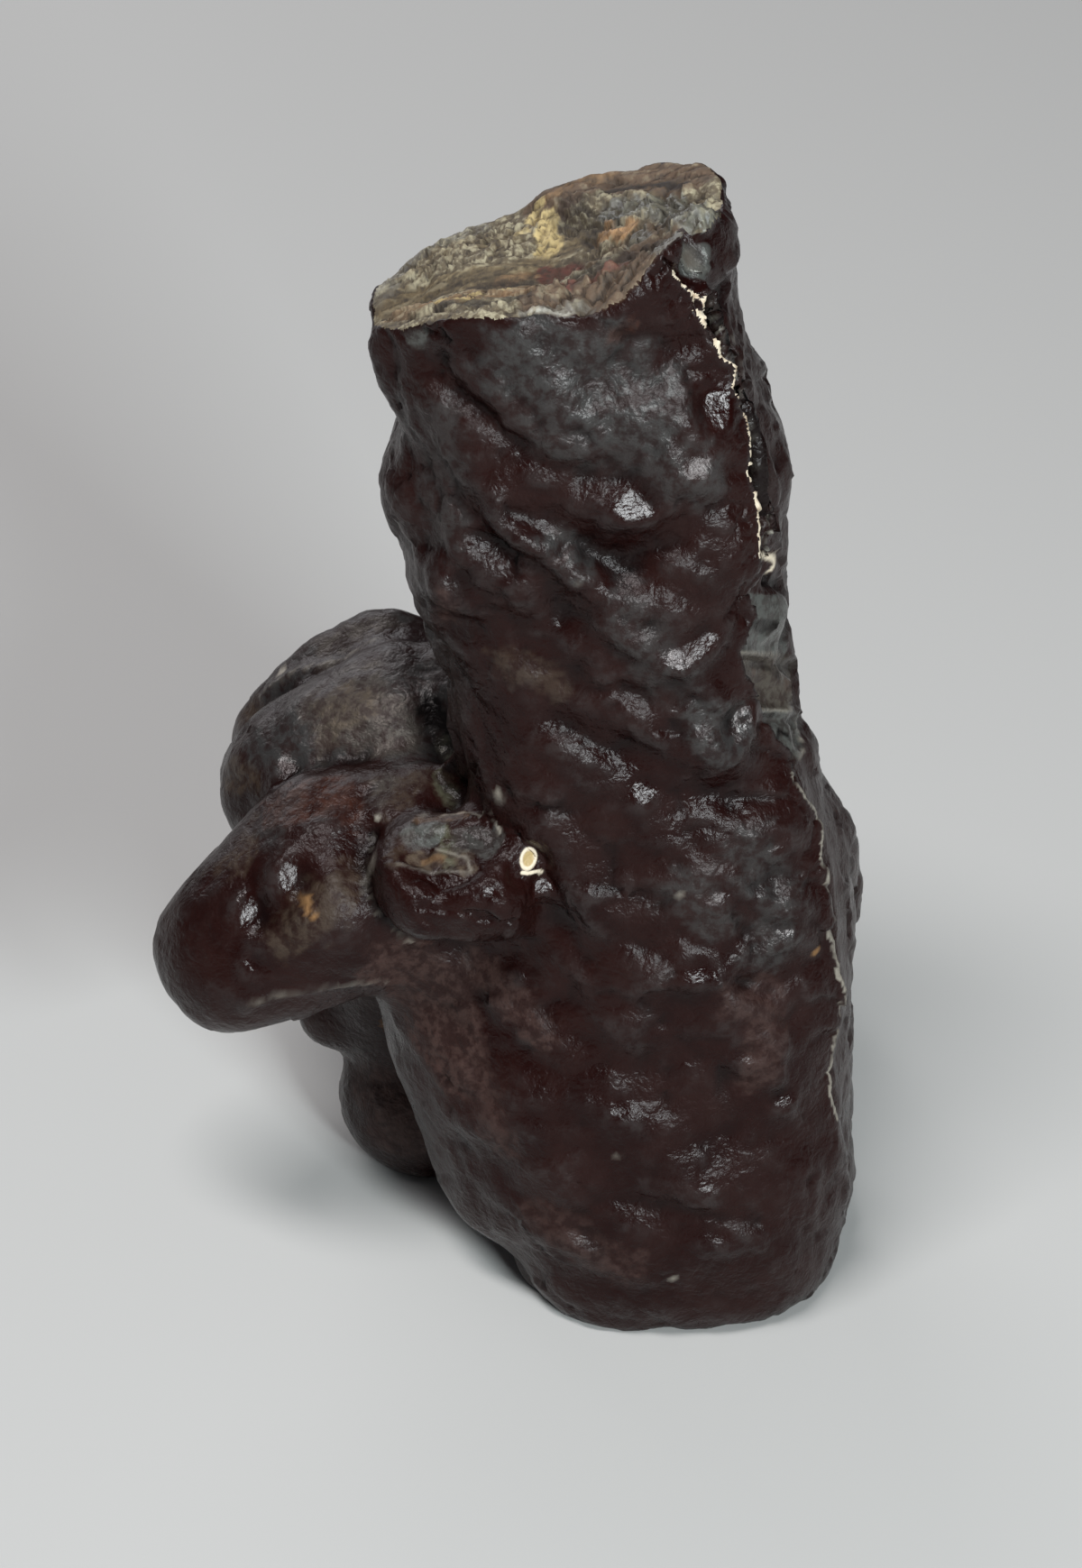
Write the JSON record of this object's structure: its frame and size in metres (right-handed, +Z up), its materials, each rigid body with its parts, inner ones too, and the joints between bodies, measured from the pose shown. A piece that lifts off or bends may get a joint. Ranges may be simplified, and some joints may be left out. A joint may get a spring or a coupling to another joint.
{
  "type": "prophecy stone",
  "caption": "Natural dark iron-oxide concretion: a leaning lumpy trunk broken off across its top, with rounded lobes at one side, free standing on a worn foot.",
  "frame": {"origin": "middle of the bounding box's underside, on the surface the stone stands on", "axes": "+Z up along the leaning trunk's length, -Y towards the front, +X towards the split flank, -X towards the finger"},
  "size_m": [0.0544, 0.0356, 0.0898],
  "materials": {
    "iron_patina": "waxy dark brown iron patina, glossy on the lumps, with a dull granular ochre and grey break on top"
  },
  "bodies": {
    "root": {"prophecy_stone": "iron_patina"}
  },
  "joints": []
}
